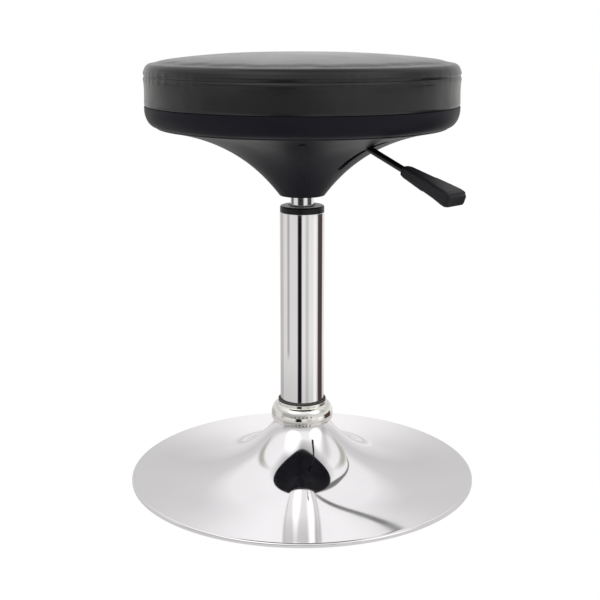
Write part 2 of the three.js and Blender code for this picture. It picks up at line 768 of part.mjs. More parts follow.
function leverGrip() {
  const depth = grip.height - grip.rise;
  const rings = gripSectionShares.map(([along, widthShare, topShare, bottomShare]) => {
    const half = grip.width * widthShare / 2;
    const top = grip.rise * topShare;
    const bottom = -depth * bottomShare;
    const corner = grip.corner;
    const x = grip.start + grip.length * along;
    return [
      [half, bottom + corner], [half, top - corner], [half - corner, top], [corner - half, top],
      [-half, top - corner], [-half, bottom + corner], [corner - half, bottom], [half - corner, bottom],
    ].map(([y, z]) => [x, y, z]);
  });
  const sides = rings[0].length;
  const positions = rings.flat(2);
  const index = [];
  for (let ringAt = 0; ringAt + 1 < rings.length; ringAt += 1) {
    for (let side = 0; side < sides; side += 1) {
      const a = ringAt * sides + side;
      const b = ringAt * sides + (side + 1) % sides;
      index.push(a, b, a + sides, b, b + sides, a + sides);
    }
  }
  const last = (rings.length - 1) * sides;
  for (let side = 1; side + 1 < sides; side += 1) {
    index.push(0, side + 1, side, last, last + side, last + side + 1);
  }
  const loft = new THREE.BufferGeometry();
  loft.setAttribute('position', new THREE.Float32BufferAttribute(positions, 3));
  loft.setIndex(index);
  loft.rotateY(leverAngle).translate(lever.pivotOffset, 0, pivotHeight);
  const boreEnd = lever.outerLength + clearance;
  return cut(loft, slopedPost(lever.radius + clearance, grip.start - grip.boreSpare, boreEnd, tiny));
}

function valvePin() {
  const top = pivotHeight - lever.radius - clearance;
  const bottom = top - valve.length;
  return revolved([
    [0, bottom],
    [valve.footRadius, bottom],
    [valve.footRadius, bottom + valve.footHeight],
    [valve.radius, bottom + valve.footHeight],
    [valve.radius, top - valve.radius + valve.tipRadius],
    [valve.tipRadius, top],
    [0, top],
  ], tiny);
}

const base = new THREE.Group();
base.add(...basePieces());

const spindle = new THREE.Group();
spindle.add(...spindlePieces());

const seat = new THREE.Group();
seat.add(...seatPieces());
seat.add(piece('valve_pin', valvePin(), chrome));
seat.add(piece('lever_rod', leverRod(), blackSteel));
seat.add(piece('lever_grip', leverGrip(), gripPlastic));
seat.rotation.z = -leverAzimuth;

const stool = new THREE.Group();
stool.add(base, spindle, seat);

export default stool;
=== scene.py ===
# Looks of a round counter stool: a leatherette cushion on a moulded pan, a gas lift in a chromed column and
# a spun trumpet base. Metres, +Z up, with the origin on the floor on the column's axis; -Y faces the camera.

import json
import math

import bmesh
import bpy
import numpy as np
from mathutils import Matrix, Vector, noise


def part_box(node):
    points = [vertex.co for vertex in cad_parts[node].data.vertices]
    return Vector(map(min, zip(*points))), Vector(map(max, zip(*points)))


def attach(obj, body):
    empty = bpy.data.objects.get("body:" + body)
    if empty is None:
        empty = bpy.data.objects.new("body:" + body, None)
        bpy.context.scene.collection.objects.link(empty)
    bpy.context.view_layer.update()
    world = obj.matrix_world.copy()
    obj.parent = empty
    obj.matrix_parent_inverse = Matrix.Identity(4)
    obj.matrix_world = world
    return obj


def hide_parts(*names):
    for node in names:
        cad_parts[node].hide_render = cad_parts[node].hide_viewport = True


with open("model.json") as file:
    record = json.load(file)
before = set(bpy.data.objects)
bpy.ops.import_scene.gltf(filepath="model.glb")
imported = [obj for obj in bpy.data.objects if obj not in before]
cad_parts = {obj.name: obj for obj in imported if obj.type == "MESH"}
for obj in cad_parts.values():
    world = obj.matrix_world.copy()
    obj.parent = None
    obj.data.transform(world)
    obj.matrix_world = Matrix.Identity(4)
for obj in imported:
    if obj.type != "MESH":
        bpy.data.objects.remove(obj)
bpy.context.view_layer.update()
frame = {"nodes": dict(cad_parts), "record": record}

mm = 0.001
UP = Vector((0, 0, 1))
SCREWS = [f"pan_screw_{i}" for i in range(1, 5)]

# Sides of a turned piece and of a small post, the turn that makes an edge sharp, and the radius and the
# difference in height that count as none
ROUND = 192
POST_SIDES = 48
CREASE = math.radians(32)
ON_AXIS = 1e-6
SAME_HEIGHT = 0.1 * mm


# Places read from the frame

def bottom(node):
    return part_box(node)[0].z


def top(node):
    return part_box(node)[1].z


def middle_of(node):
    low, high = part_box(node)
    return (low + high) / 2


def radii(node, height=None):
    """Distances from the axis to a node's vertices, all of them or those at one height."""
    vertices = frame["nodes"][node].data.vertices
    near = [v.co for v in vertices if height is None or abs(v.co.z - height) < SAME_HEIGHT]
    return [math.hypot(point.x, point.y) for point in near]


def outer_radius(node, height=None):
    return max(radii(node, height))


def inner_radius(node, height=None):
    return min(radii(node, height))


def linked(data):
    """An object in the scene, named as its data."""
    thing = bpy.data.objects.new(data.name, data)
    bpy.context.scene.collection.objects.link(thing)
    return thing


# Camera, at the photograph's place and angle

camera_distance = 1.231
camera_height = 0.514
camera_offset = -2.4 * mm
camera_pitch = math.radians(13.9)
camera_lens = 67.1


def add_camera():
    data = bpy.data.cameras.new("camera")
    data.lens = camera_lens
    camera = linked(data)
    camera.location = (camera_offset, -camera_distance, camera_height)
    camera.rotation_euler = (math.pi / 2 - camera_pitch, 0, 0)
    bpy.context.scene.camera = camera


# Shader nodes

# The Mix node's inputs for vectors and for colours, which share their names
VECTOR_A, VECTOR_B, COLOR_A, COLOR_B = 4, 5, 6, 7


class Graph:
    """The nodes of a material or a world, with each input either a value or another node's output."""

    def __init__(self, owner):
        owner.use_nodes = True
        self.owner, self.tree = owner, owner.node_tree

    def add(self, kind, inputs=None, output=0, **settings):
        node = self.tree.nodes.new("ShaderNode" + kind)
        for key, value in settings.items():
            setattr(node, key, value)
        for key, value in (inputs or {}).items():
            self.set(node.inputs[key], value)
        return node if output is None else node.outputs[output]

    def set(self, socket, value):
        if isinstance(value, bpy.types.NodeSocket):
            self.tree.links.new(value, socket)
        else:
            socket.default_value = value

    def finished(self, last="Principled BSDF", **sockets):
        """The material or world, with the inputs of its last node set."""
        for name, value in sockets.items():
            self.set(self.tree.nodes[last].inputs[name.replace("_", " ")], value)
        return self.owner

    def math(self, operation, *values):
        return self.add("Math", dict(enumerate(values)), operation=operation)

    def apart(self, first, second):
        """The distance between two values."""
        return self.math("ABSOLUTE", self.math("SUBTRACT", first, second))

    def mapped(self, value, from_low, from_high, to_low=0.0, to_high=1.0, smooth=False):
        inputs = {"Value": value, "From Min": from_low, "From Max": from_high}
        inputs |= {"To Min": to_low, "To Max": to_high}
        return self.add("MapRange", inputs, interpolation_type="SMOOTHSTEP" if smooth else "LINEAR")

    def mixed(self, share, first, second):
        """A colour between two colours."""
        inputs = {"Factor": share, COLOR_A: first, COLOR_B: second}
        return self.add("Mix", inputs, output=2, data_type="RGBA")

    def over(self, color, card, *shares):
        """A colour with a card's colour over it, by the product of the shares."""
        whole = shares[0]
        for share in shares[1:]:
            whole = self.math("MULTIPLY", whole, share)
        return self.mixed(whole, color, card)

    def noise(self, where, scale, detail=2.0, roughness=0.5, output=0):
        inputs = {"Vector": where, "Scale": scale, "Detail": detail, "Roughness": roughness}
        return self.add("TexNoise", inputs, output)

    def bump(self, height, distance, strength=1.0, normal=None):
        inputs = {"Height": height, "Distance": distance, "Strength": strength}
        if normal is not None:
            inputs["Normal"] = normal
        return self.add("Bump", inputs)


def rgb(*channels):
    return (*channels, 1.0)


def scaled(color, factor):
    return rgb(*(channel * factor for channel in color[:3]))


# Materials, with the sizes of their marks in millimetres

chrome_roughness = 0.035


def new_material(name):
    """The graph of a material, and the object's own coordinates."""
    graph = Graph(bpy.data.materials.new(name))
    return graph, graph.add("TexCoord", output="Object")


def chrome(name, color, wave_height):
    """Polished chrome with faint wiping marks and the slow waves of a formed sheet."""
    graph, where = new_material(name)
    wiped = graph.noise(where, scale=38, detail=4)
    worn = graph.mapped(graph.noise(where, scale=11, detail=3), 0.35, 0.7)
    slow = graph.noise(where, scale=9, detail=1)
    return graph.finished(
        Metallic=1.0,
        Base_Color=graph.mixed(worn, color, scaled(color, 0.965)),
        Roughness=graph.mapped(wiped, 0.35, 0.75, chrome_roughness, chrome_roughness * 2),
        Normal=graph.bump(slow, wave_height * mm, strength=0.6),
    )


def moulded_plastic(name, color, roughness, grain, level):
    """Moulded plastic with a fine spark-eroded grain, a little uneven in gloss."""
    graph, where = new_material(name)
    patches = graph.noise(where, scale=26, detail=3)
    fine = graph.noise(where, scale=1 / (grain * mm), roughness=0.6)
    return graph.finished(
        Specular_IOR_Level=level,
        Base_Color=graph.mixed(patches, color, scaled(color, 1.25)),
        Roughness=graph.mapped(patches, 0.3, 0.7, roughness * 0.92, roughness * 1.1),
        Normal=graph.bump(fine, 0.12 * grain * mm),
    )


def leatherette():
    """Coated fabric: pebbles about a millimetre wide with fine creases between them, and painted shade that
    darkens the creases.
    """
    graph, where = new_material("leatherette")
    inputs = {"Factor": 0.0012, VECTOR_A: where, VECTOR_B: graph.noise(where, scale=420, output="Color")}
    bent = graph.add("Mix", inputs, output=1, data_type="VECTOR")
    pebbles = graph.add("TexVoronoi", {"Vector": bent, "Scale": 820.0}, feature="DISTANCE_TO_EDGE")
    creases = graph.mapped(pebbles, 0.0, 0.14, smooth=True)
    worn = graph.mapped(graph.noise(where, scale=16, detail=4), 0.3, 0.72)
    # Colour share: painted shade, darker in the creases between the pebbles, times a random worn tone
    share = graph.math("MULTIPLY", creases, graph.mapped(worn, 0, 1, 0.75, 1))
    height = graph.math("MULTIPLY_ADD", graph.noise(where, scale=2600, detail=1), 0.2, creases)
    soft = graph.bump(graph.noise(where, scale=60), 0.25 * mm)
    return graph.finished(
        Specular_IOR_Level=0.42, Sheen_Weight=0.09, Sheen_Roughness=0.3,
        Base_Color=graph.mixed(share, rgb(0.005, 0.005, 0.0052), rgb(0.01, 0.01, 0.0102)),
        Roughness=graph.mapped(worn, 0, 1, 0.2, 0.26),
        Normal=graph.bump(height, 0.02 * mm, normal=soft),
    )


def satin_steel(name, color, roughness, metallic=1.0):
    """Bare or plated steel with short rolling marks."""
    graph, where = new_material(name)
    stretched = graph.add("Mapping", {"Vector": where, "Scale": (60, 60, 900)})
    marks = graph.noise(stretched, scale=1, detail=3)
    patches = graph.noise(where, scale=70)
    return graph.finished(
        Metallic=metallic,
        Base_Color=graph.mixed(patches, scaled(color, 0.8), color),
        Roughness=graph.mapped(marks, 0.3, 0.7, roughness * 0.85, roughness * 1.2),
        Normal=graph.bump(marks, 0.02 * mm),
    )


def rough_coat(name, color, roughness, lump, depth, metallic=0.0):
    """A dull surface with lumps, such as a casting, rubber or foam."""
    graph, where = new_material(name)
    lumps = graph.noise(where, scale=1 / (lump * mm), detail=4, roughness=0.6)
    share = graph.mapped(lumps, 0.3, 0.7)
    return graph.finished(
        Metallic=metallic,
        Base_Color=graph.mixed(share, scaled(color, 0.6), color),
        Roughness=graph.mapped(lumps, 0.3, 0.7, roughness, roughness * 0.85),
        Normal=graph.bump(lumps, depth * mm),
    )


def plywood():
    graph, where = new_material("plywood")
    inputs = {"Vector": where, "Scale": 90.0, "Distortion": 0.6}
    layers = graph.add("TexWave", inputs, output="Fac", bands_direction="Z")
    long_grain = graph.add("Mapping", {"Vector": where, "Scale": (12, 220, 220)})
    fibres = graph.noise(long_grain, scale=1, detail=5, roughness=0.65)
    share = graph.math("MULTIPLY_ADD", layers, 0.25, graph.mapped(fibres, 0.3, 0.7, 0, 0.75))
    return graph.finished(
        Roughness=0.65,
        Base_Color=graph.mixed(share, rgb(0.5, 0.31, 0.15), rgb(0.68, 0.48, 0.27)),
        Normal=graph.bump(fibres, 0.1 * mm),
    )


# The base chrome's faint lilac tint stands in for a tone that the chrome reflects: painted reflection
base_chrome = chrome("base_chrome", rgb(0.93, 0.92, 0.925), wave_height=0.4)
# The collar chrome's cream tint stands in for the warm tone that the collar reflects: painted reflection
collar_chrome = chrome("collar_chrome", rgb(0.93, 0.915, 0.87), wave_height=0.1)
SLOT_MATERIALS = {
    "chrome": chrome("tube_chrome", rgb(0.92, 0.91, 0.915), wave_height=0.05),
    "leatherette": leatherette(),
    "pan_plastic": moulded_plastic("pan_plastic", rgb(0.0075, 0.0077, 0.012), 0.42, grain=0.5, level=0.1),
    "cap_plastic": moulded_plastic("cap_plastic", rgb(0.003, 0.003, 0.0035), 0.3, grain=0.3, level=0.3),
    "grip_plastic": moulded_plastic("grip_plastic", rgb(0.009, 0.0095, 0.012), 0.42, grain=0.6, level=0.25),
    "black_steel": satin_steel("black_steel", rgb(0.003, 0.003, 0.0035), 0.28, metallic=0.0),
    "steel": satin_steel("zinc", rgb(0.55, 0.56, 0.58), 0.34),
    "iron": rough_coat("iron", rgb(0.09, 0.092, 0.1), 0.7, lump=2.5, depth=0.3, metallic=0.4),
    "rubber": rough_coat("rubber", rgb(0.085, 0.08, 0.077), 0.8, lump=0.8, depth=0.05),
    "foam": rough_coat("foam", rgb(0.76, 0.66, 0.33), 0.95, lump=1.2, depth=0.4),
    "plywood": plywood(),
}


# Outlines, as lists of (radius, height)

corner_steps = 4
guard_reach = 1.25
guard_room = 1.3
flare_power = 1.7


def arc(centre, width, height, start, end, steps, power=1.0):
    """Points on an ellipse's arc, with angles in quarter turns from the outward direction. A power under 1
    fills the ellipse's corners."""
    points = []
    for i in range(steps + 1):
        angle = (start + (end - start) * i / steps) * math.pi / 2
        across, up = math.cos(angle), math.sin(angle)
        across, up = (math.copysign(abs(share) ** power, share) for share in (across, up))
        points.append((centre[0] + width * across, centre[1] + height * up))
    return points


def inset(points, distance):
    """An open outline moved to the right of the way that its points run."""
    moved = []
    for i, (radius, height) in enumerate(points):
        before, after = points[max(i - 1, 0)], points[min(i + 1, len(points) - 1)]
        way = Vector((after[0] - before[0], after[1] - before[1])).normalized()
        moved.append((max(radius + way.y * distance, 0), height - way.x * distance))
    return moved


def skin(points, thickness):
    return points + inset(points, thickness)[::-1]


def rounded(points, size, closed=True):
    """The outline with each sharp corner turned into a small curve, and a guard point beside each curve that
    keeps the normals of the long face next to it straight."""
    out = []
    for i, corner in enumerate(points):
        here = Vector(corner)
        before, after = Vector(points[i - 1]) - here, Vector(points[(i + 1) % len(points)]) - here
        sharp = before.length > 0 and after.length > 0 and before.angle(-after) > CREASE
        if not sharp or here.x < ON_AXIS or (not closed and i in (0, len(points) - 1)):
            out.append(corner)
            continue
        reach = min(size, before.length / 2, after.length / 2)
        start, end = here + before.normalized() * reach, here + after.normalized() * reach
        curve = []
        for step in range(corner_steps + 1):
            share = step / corner_steps
            curve.append(start.lerp(here, share).lerp(here.lerp(end, share), share))
        if before.length / 2 > reach * guard_room:
            curve.insert(0, here + before.normalized() * reach * guard_reach)
        if after.length / 2 > reach * guard_room:
            curve.append(here + after.normalized() * reach * guard_reach)
        out += [(point.x, point.y) for point in curve]
    return out


def flare_rise(radius, neck, rim, rise, length):
    """Rise of a flared skin over its rim: steep at the neck and nearly level at the rim."""
    at_rim = math.exp((neck - rim) / length)
    return rise * (math.exp((neck - radius) / length) - at_rim) / (1 - at_rim)


def flare_radii(neck, rim, steps):
    """Radii from the neck to the rim, closer together at the neck."""
    return [neck + (rim - neck) * (i / steps) ** flare_power for i in range(steps + 1)]


# Meshes and pieces

def new_mesh(name, vertices, faces):
    mesh = bpy.data.meshes.new(name)
    mesh.from_pydata(vertices, [], faces)
    return mesh


def shade(mesh, crease=CREASE):
    mesh.shade_smooth()
    mesh.set_sharp_from_angle(angle=crease)


def turned_rings(outline, segments):
    """The vertices of an outline turned round the Z axis, and the ring of vertices that each point makes."""
    vertices, rings = [], []
    for radius, height in outline:
        if radius < ON_AXIS:
            rings.append([len(vertices)] * segments)
            vertices.append((0, 0, height))
            continue
        rings.append(range(len(vertices), len(vertices) + segments))
        for i in range(segments):
            turn = math.tau * i / segments
            vertices.append((radius * math.cos(turn), radius * math.sin(turn), height))
    return vertices, rings


def revolved(name, outline, segments=ROUND):
    """A closed outline turned round the Z axis."""
    area = sum(a[0] * b[1] - b[0] * a[1] for a, b in zip(outline, outline[1:] + outline[:1]))
    if area < 0:
        outline = outline[::-1]
    vertices, rings = turned_rings(outline, segments)
    faces = []
    for low, high in zip(rings, rings[1:] + rings[:1]):
        for i in range(segments):
            j = (i + 1) % segments
            face = list(dict.fromkeys((low[i], low[j], high[j], high[i])))
            if len(face) > 2:
                faces.append(face)
    mesh = new_mesh(name, vertices, faces)
    shade(mesh)
    return mesh


def loft(name, rings):
    """A closed mesh through rings of points, with its first and last ring capped."""
    count = len(rings[0])
    vertices = [point for ring in rings for point in ring]
    faces = []
    for i in range(len(rings) - 1):
        for j in range(count):
            k = (j + 1) % count
            faces.append((i * count + j, i * count + k, (i + 1) * count + k, (i + 1) * count + j))
    faces.append(tuple(range(count))[::-1])
    faces.append(tuple(range((len(rings) - 1) * count, len(rings) * count)))
    mesh = new_mesh(name, vertices, faces)
    shade(mesh)
    return mesh


def prism(name, ring, low, high):
    """An outline of (x, y) points raised from one height to another."""
    return loft(name, [[(x, y, z) for x, y in ring] for z in (low, high)])


def post(name, radius, low, high, place=(0, 0)):
    turns = [math.tau * i / POST_SIDES for i in range(POST_SIDES)]
    ring = [(place[0] + radius * math.cos(turn), place[1] + radius * math.sin(turn)) for turn in turns]
    return prism(name, ring, low, high)


def swept(name, path, radius, sides):
    """A round bar along a path in one upright plane."""
    rings = []
    across = (path[1] - path[0]).cross(UP).normalized()
    for i, point in enumerate(path):
        way = (path[min(i + 1, len(path) - 1)] - path[max(i - 1, 0)]).normalized()
        up = across.cross(way).normalized()
        rings.append([
            point + radius * (across * math.cos(math.tau * j / sides) + up * math.sin(math.tau * j / sides))
            for j in range(sides)
        ])
    return loft(name, rings)


def from_evaluated(piece):
    """A new mesh with a piece's modifiers applied."""
    graph = bpy.context.evaluated_depsgraph_get()
    return bpy.data.meshes.new_from_object(piece.evaluated_get(graph))


def discard(*pieces):
    """Removes scratch objects with their meshes, which frees their names."""
    for piece in pieces:
        mesh = piece.data
        bpy.data.objects.remove(piece)
        bpy.data.meshes.remove(mesh)


def cut(mesh, *cutters):
    """The mesh with other closed meshes taken out of it. It uses them all up."""
    name = mesh.name
    piece = linked(mesh)
    tools = [linked(cutter) for cutter in cutters]
    for tool in tools:
        modifier = piece.modifiers.new("cut", "BOOLEAN")
        modifier.operation = "DIFFERENCE"
        modifier.object = tool
    result = from_evaluated(piece)
    discard(piece, *tools)
    result.name = name
    return result


def joined(name, *meshes):
    """One mesh from several, which it uses up."""
    whole = bmesh.new()
    for mesh in meshes:
        whole.from_mesh(mesh)
        bpy.data.meshes.remove(mesh)
    result = bpy.data.meshes.new(name)
    whole.to_mesh(result)
    whole.free()
    return result


def placed(mesh, body, slot, node, material=None):
    """A piece that rides on a body and stands for a CAD node, in its slot's material or another."""
    piece = linked(mesh)
    mesh.materials.append(material or SLOT_MATERIALS[slot])
    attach(piece, body)
    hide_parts(node)
    return piece


def turned_piece(name, outline, edge, body, slot, node, material=None):
    """A revolved piece, with an edge at each sharp corner of its outline."""
    return placed(revolved(name, rounded(outline, edge)), body, slot, node, material)


# Base

cover_sheet = 1.5 * mm
cover_edge = 2.4 * mm
cover_rim_height = 5.5 * mm
cover_flare_length = 43 * mm
cover_fillet = 4.5 * mm
cover_fillet_depth = 1.7 * mm
collar_wall = 1.8 * mm
collar_band = 3.6 * mm
collar_bulge_height = 7.5 * mm
collar_edge = 0.6 * mm
gasket_edge = 0.7 * mm
plate_edge = 0.4 * mm
column_taper_length = 55 * mm
column_edge = 0.6 * mm
cap_gap = 0.3 * mm
cap_chamfer = 1.2 * mm
cap_recess_width = 2.2 * mm
cap_recess_depth = 0.8 * mm
cap_edge = 0.5 * mm


def trumpet_cover():
    """The spun sheet: a flare, hollowed a little under the neck, with its rim turned down to the floor."""
    node = "trumpet_cover"
    neck, rim = outer_radius(node, top(node)), outer_radius(node) - cover_edge
    rise = top(node) - cover_rim_height
    outer = []
    for radius in flare_radii(neck, rim, steps=110):
        away = (radius - neck) / cover_fillet
        hollow = cover_fillet_depth * away * math.exp(1 - away)
        height = flare_rise(radius, neck, rim, rise, cover_flare_length) - hollow
        outer.append((radius, cover_rim_height + height))
    outer += arc((rim, cover_rim_height - cover_edge), cover_edge, cover_edge, 1, 0, steps=10)[1:]
    outer.append((rim + cover_edge, bottom(node)))
    mesh = revolved("trumpet_cover_sheet", skin(outer, cover_sheet), 2 * ROUND)
    placed(mesh, "base", "chrome", node, base_chrome)


def trim_collar():
    node = "trim_collar"
    low, high = bottom(node), top(node)
    bore, neck = inner_radius(node, high), outer_radius("trumpet_cover", top("trumpet_cover"))
    shoulder, bulge = outer_radius(node, high - collar_edge), outer_radius(node)
    widest = low + collar_bulge_height
    outer = [(bore, high), (shoulder, high)]
    outer += arc((shoulder, widest), bulge - shoulder, high - collar_band - widest, 1, 0, steps=28)
    outer += arc((neck, widest), bulge - neck, collar_bulge_height, 0, -1, steps=16)[1:]
    outline = skin(outer, collar_wall)
    turned_piece("trim_collar_ring", outline, collar_edge, "base", "chrome", node, collar_chrome)


def plain_ring(name, edge, slot, node):
    """A plain ring or disc of the base, with its sizes read from its CAD node."""
    inner, outer, low, high = inner_radius(node), outer_radius(node), bottom(node), top(node)
    outline = [(inner, low), (outer, low), (outer, high), (inner, high)]
    turned_piece(name, outline, edge, "base", slot, node)


def column_tube():
    node = "column_tube"
    outer, wall = outer_radius(node), outer_radius(node) - inner_radius(node, top(node))
    foot = outer_radius(node, bottom(node))
    taper_top = bottom(node) + column_taper_length
    outline = [
        (outer - wall, top(node)), (outer, top(node)), (outer, taper_top), (foot, bottom(node)),
        (foot - wall, bottom(node)), (outer - wall, taper_top),
    ]
    turned_piece("column_tube_shell", outline, column_edge, "base", "chrome", node)


def guide_bushing():
    """The sleeve in the column's mouth and its cap, which has a shallow recess round the gas cylinder."""
    node = "guide_bushing"
    bore, cap, sleeve = inner_radius(node), outer_radius(node), outer_radius(node, bottom(node))
    low, high, seat = bottom(node), top(node), top("column_tube") + cap_gap
    recess, floor = bore + cap_recess_width, high - cap_recess_depth
    outline = [
        (bore, low), (sleeve, low), (sleeve, seat), (cap, seat), (cap, high - cap_chamfer),
        (cap - cap_chamfer, high), (recess, high), (recess - cap_recess_depth, floor), (bore, floor),
    ]
    turned_piece("guide_bushing_cap", outline, cap_edge, "base", "cap_plastic", node)


def base_pieces():
    trumpet_cover()
    trim_collar()
    plain_ring("collar_gasket_ring", gasket_edge, "rubber", "collar_gasket")
    column_tube()
    guide_bushing()
    plain_ring("base_plate_disc", plate_edge, "steel", "base_plate")
    plain_ring("floor_ring_pad", plate_edge, "rubber", "floor_ring")


# Lift

lift_wall = 2 * mm
lift_taper_length = 49 * mm
lift_pin_bore = 3.3 * mm
lift_end_wall = 3.5 * mm
lift_edge = 0.5 * mm


def pressure_tube():
    """The gas cylinder, with its taper up into the seat and the valve pin's bore in its end."""
    node = "pressure_tube"
    low, high = bottom(node), top(node)
    outer, tip = outer_radius(node, low), outer_radius(node, high)
    taper, under_end = high - lift_taper_length, high - lift_end_wall
    outline = [
        (outer - lift_wall, low), (outer, low), (outer, taper), (tip, high), (lift_pin_bore, high),
        (lift_pin_bore, under_end), (tip - lift_wall, under_end), (outer - lift_wall, taper),
    ]
    turned_piece("pressure_tube_shell", outline, lift_edge, "seat", "chrome", node)


# Sizes of the lever's rod, which the pan's slot reads too

lever_radius = 3.5 * mm
lever_drop = math.radians(20.8)
lever_length = 163 * mm
lever_bend = 7 * mm
lever_bend_steps = 12
lever_sides = 40
lever_pin_bore = 2.3 * mm


def lever_frame():
    """The lever's pivot, its outward direction and its direction across."""
    joint = next(j for j in frame["record"]["behaviour"]["joints"] if j["name"] == "lever_lift")
    pivot = Vector(joint["pos_m"])
    outward = Vector((pivot.x, pivot.y, 0)).normalized()
    return pivot, outward, Vector((-outward.y, outward.x, 0))


# Pan

pan_wall = 3 * mm
pan_rim_edge = 0.8 * mm
pan_rim_height = 2.7 * mm
pan_rim_curve = 12.4 * mm
pan_rim_curve_height = 19.1 * mm
pan_rim_curve_end = -0.94
pan_flare_length = 65 * mm
pan_cone_radius = 25 * mm
pan_cone_rise = 75.4 * mm
pan_tip_chamfer = 3 * mm
pan_corner = 2.2 * mm
slot_start = 55 * mm
slot_end = 122.7 * mm
slot_spare = 0.5 * mm
slot_end_steps = 16
boss_radius = 7 * mm
boss_bore = 4.6 * mm
boss_root = 6 * mm
boss_gap = 0.3 * mm
screw_head_height = 2.6 * mm
screw_dome = 1.2 * mm
screw_shank = 2 * mm
screw_point = 3 * mm
screw_edge = 0.25 * mm
cross_length = 4.4 * mm
cross_width = 0.9 * mm
cross_depth = 1.6 * mm


def pan_shell():
    """The pan's wall: an upright rim, a curve under it, and the flare down to the cone's open tip."""
    node = "seat_pan"
    rim, high, low = outer_radius(node), top(node), bottom(node)
    edge, curve, foot = rim - pan_rim_edge, rim - pan_rim_curve, high - pan_rim_height
    outer = [(edge, high)]
    outer += arc((edge, high - pan_rim_edge), pan_rim_edge, pan_rim_edge, 1, 0, steps=4)[1:]
    outer += arc((curve, foot), pan_rim_curve, pan_rim_curve_height, 0, pan_rim_curve_end, steps=24)
    for radius in flare_radii(pan_cone_radius, curve, steps=90)[::-1]:
        drop = flare_rise(radius, pan_cone_radius, curve, pan_cone_rise, pan_flare_length)
        outer.append((radius, low + pan_cone_rise - drop))
    outer += [(pan_cone_radius - pan_tip_chamfer, low), (inner_radius(node, low), low)]
    outer = rounded(outer, pan_corner, closed=False)
    return revolved("seat_pan_shell", skin(outer, pan_wall), 2 * ROUND)


def slot_cutter():
    """The lever's slot through the pan, with round ends."""
    _, outward, across = lever_frame()
    half = lever_radius + slot_spare
    ring = []
    for end, start_turn in ((slot_end - half, -90), (slot_start + half, 90)):
        for i in range(slot_end_steps + 1):
            turn = math.radians(start_turn + 180 * i / slot_end_steps)
            point = outward * (end + half * math.cos(turn)) + across * half * math.sin(turn)
            ring.append((point.x, point.y))
    return prism("slot", ring, bottom("seat_pan"), bottom("seat_pan") + pan_cone_rise)


def seat_pan():
    """The pan with its slot, and with bosses up to the board that are bored for the screws' heads."""
    low, under = bottom("seat_pan"), bottom("seat_pan") + pan_cone_rise
    shoulder = bottom(SCREWS[0]) + screw_head_height
    recesses, bosses = [], []
    for screw in SCREWS:
        place = middle_of(screw)
        recesses.append(post("recess", boss_bore, low, shoulder, place))
        boss = post("boss", boss_radius, under - boss_root, bottom("seat_board") - boss_gap, place)
        bosses.append(cut(boss, post("bore", boss_bore, low, shoulder, place)))
    shell = cut(pan_shell(), slot_cutter(), *recesses)
    shade(shell)
    placed(joined("seat_pan_shell", shell, *bosses), "seat", "pan_plastic", "seat_pan")


def pan_screws():
    """The screws, with their domed heads down and a cross recess in each."""
    for node in SCREWS:
        low, high, place = bottom(node), top(node), middle_of(node)
        head = (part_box(node)[1].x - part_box(node)[0].x) / 2
        under_head, point = low + screw_head_height, high - screw_point
        dome = arc((0, low + screw_dome), head, screw_dome, -1, 0, steps=8)
        outline = dome + [(head, under_head), (screw_shank, under_head), (screw_shank, point), (0, high)]
        cross = []
        for length, width in ((cross_length, cross_width), (cross_width, cross_length)):
            x, y = length / 2, width / 2
            ring = [(-x, -y), (x, -y), (x, y), (-x, y)]
            cross.append(prism("cross", ring, low - cross_depth, low + cross_depth))
        mesh = cut(revolved(f"{node}_turned", rounded(outline, screw_edge), POST_SIDES), *cross)
        mesh.transform(Matrix.Translation((place.x, place.y, 0)))
        shade(mesh)
        placed(mesh, "seat", "black_steel", node)


# Lever

eye_radius = 5.5 * mm
eye_width = 8 * mm
eye_edge = 0.5 * mm
eye_sides = 64
grip_start = 119 * mm
grip_length = 72 * mm
grip_width = 29 * mm
grip_height = 15.5 * mm
grip_rise = 9.6 * mm
grip_corner = 2.6 * mm
grip_corner_steps = 8
grip_edge = 1.4 * mm
grip_steps = 72
grip_round_steps = 6
grip_crease = math.radians(50)

# Shares of the grip's length, width, top's rise and bottom's depth at its sections
grip_along = (0, 0.05, 0.44, 0.5, 0.74, 0.9, 0.97, 1)
grip_widths = (0.38, 0.44, 0.66, 0.7, 0.89, 0.98, 1, 0.94)
grip_rises = (0.55, 0.64, 0.82, 0.85, 0.94, 1, 0.95, 0.72)
grip_depths = (0.85, 0.95, 1, 0.86, 0.78, 0.92, 0.9, 0.74)


def lever_way(outward):
    """The direction along the rod, outward and down, and the one square to it, outward and up."""
    along = outward * math.cos(lever_drop) - UP * math.sin(lever_drop)
    return along, outward * math.sin(lever_drop) + UP * math.cos(lever_drop)


def lever_rod():
    """The rod from the lift's pin out, bent at its pivot, where an eye goes round the pivot's pin."""
    pivot, outward, across = lever_frame()
    along, _ = lever_way(outward)
    start, end = Vector((0, 0, pivot.z)), pivot + along * lever_length
    before, after = pivot - outward * lever_bend, pivot + along * lever_bend
    bend = []
    for i in range(lever_bend_steps + 1):
        share = i / lever_bend_steps
        bend.append(before.lerp(pivot, share).lerp(pivot.lerp(after, share), share))
    path = [start, start.lerp(before, 0.5), *bend, after.lerp(end, 0.5), end]
    rod = swept("lever_rod_bar", path, lever_radius, lever_sides)
    half = eye_width / 2
    outline = [(lever_pin_bore, -half), (eye_radius, -half), (eye_radius, half), (lever_pin_bore, half)]
    eye = revolved("eye", rounded(outline, eye_edge), eye_sides)
    bore = post("bore", lever_pin_bore, -eye_width, eye_width)
    turn = Matrix.Translation(pivot) @ across.to_track_quat("Z", "Y").to_matrix().to_4x4()
    eye.transform(turn)
    bore.transform(turn)
    rod = cut(rod, bore)
    shade(rod)
    placed(joined("lever_rod_bar", rod, eye), "lever", "black_steel", "lever_rod")


